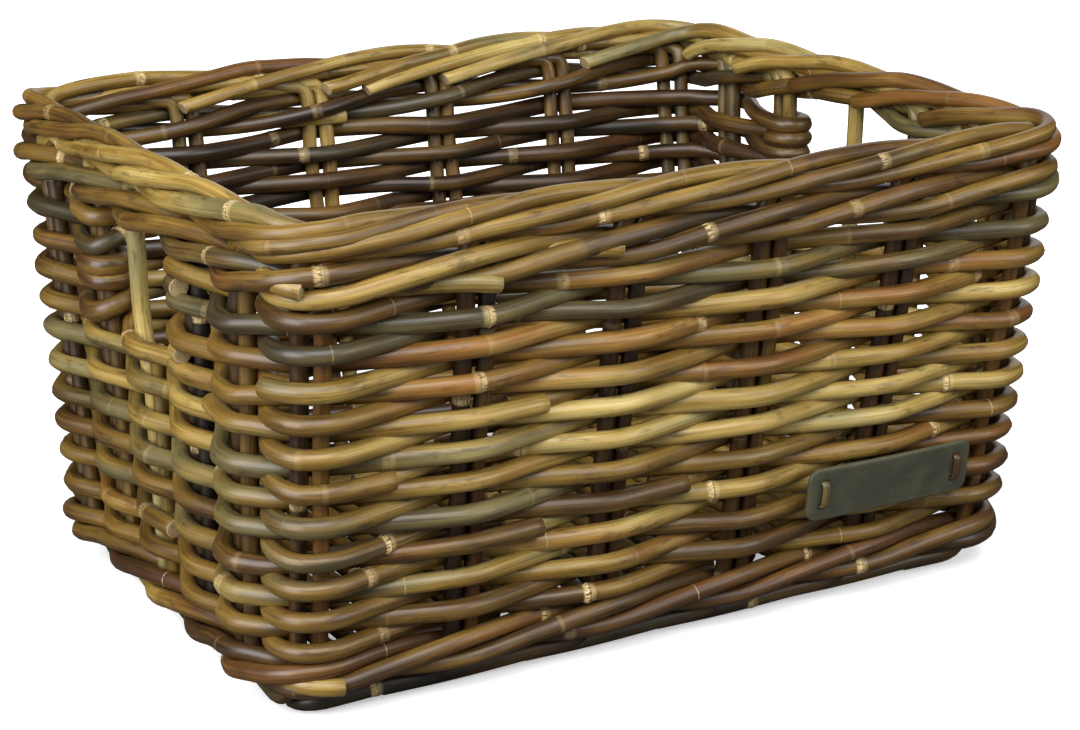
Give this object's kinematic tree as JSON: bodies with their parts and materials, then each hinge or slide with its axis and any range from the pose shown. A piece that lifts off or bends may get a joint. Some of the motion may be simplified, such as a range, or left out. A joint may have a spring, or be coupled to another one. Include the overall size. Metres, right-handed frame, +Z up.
{
  "type": "crate basket",
  "caption": "Rectangular open-top crate basket woven from thick cane, with flared walls, waled edges, a rope border, a hand opening in each end wall and a bare leather label.",
  "frame": {"origin": "centre of the basket's outline on the plane it stands on", "axes": "+X along the long walls, to the right when the labelled wall is seen from outside; +Y from the labelled wall to the plain long wall; +Z up"},
  "size_m": [0.418, 0.3438, 0.232],
  "materials": {
    "stake_cane": "gloss varnish",
    "weaver_cane": "gloss varnish",
    "wale_cane": "gloss varnish",
    "base_cane": "gloss varnish",
    "label_leather": "matt",
    "tie_cane": "satin"
  },
  "bodies": {
    "root": {"stake_front_1": "stake_cane", "stake_front_2": "stake_cane", "stake_front_3": "stake_cane", "stake_front_4": "stake_cane", "stake_front_5": "stake_cane", "stake_front_6": "stake_cane", "stake_right_1": "stake_cane", "stake_right_2": "stake_cane", "stake_right_3": "stake_cane", "stake_right_4": "stake_cane", "stake_right_5": "stake_cane", "stake_back_1": "stake_cane", "stake_back_2": "stake_cane", "stake_back_3": "stake_cane", "stake_back_4": "stake_cane", "stake_back_5": "stake_cane", "stake_back_6": "stake_cane", "stake_left_1": "stake_cane", "stake_left_2": "stake_cane", "stake_left_3": "stake_cane", "stake_left_4": "stake_cane", "stake_left_5": "stake_cane", "course_01": "weaver_cane", "course_02": "weaver_cane", "course_03": "weaver_cane", "course_04": "weaver_cane", "course_05": "weaver_cane", "course_06": "weaver_cane", "course_07": "weaver_cane", "course_08": "weaver_cane", "course_09": "weaver_cane", "course_10": "weaver_cane", "course_11": "weaver_cane", "course_12": "weaver_cane", "course_13": "weaver_cane", "course_14": "weaver_cane", "handle_weaver_front_1": "weaver_cane", "handle_weaver_front_2": "weaver_cane", "handle_weaver_front_3": "weaver_cane", "handle_weaver_front_4": "weaver_cane", "handle_weaver_back_1": "weaver_cane", "handle_weaver_back_2": "weaver_cane", "handle_weaver_back_3": "weaver_cane", "handle_weaver_back_4": "weaver_cane", "bottom_wale_1": "wale_cane", "bottom_wale_2": "wale_cane", "bottom_wale_3": "wale_cane", "top_wale_1": "wale_cane", "top_wale_2": "wale_cane", "top_wale_3": "wale_cane", "base_hoop": "base_cane", "base_stick_1": "base_cane", "base_stick_2": "base_cane", "base_stick_3": "base_cane", "base_stick_4": "base_cane", "base_weaver": "base_cane", "label_plate": "label_leather", "label_loop_left": "tie_cane", "label_loop_right": "tie_cane"}
  },
  "joints": []
}
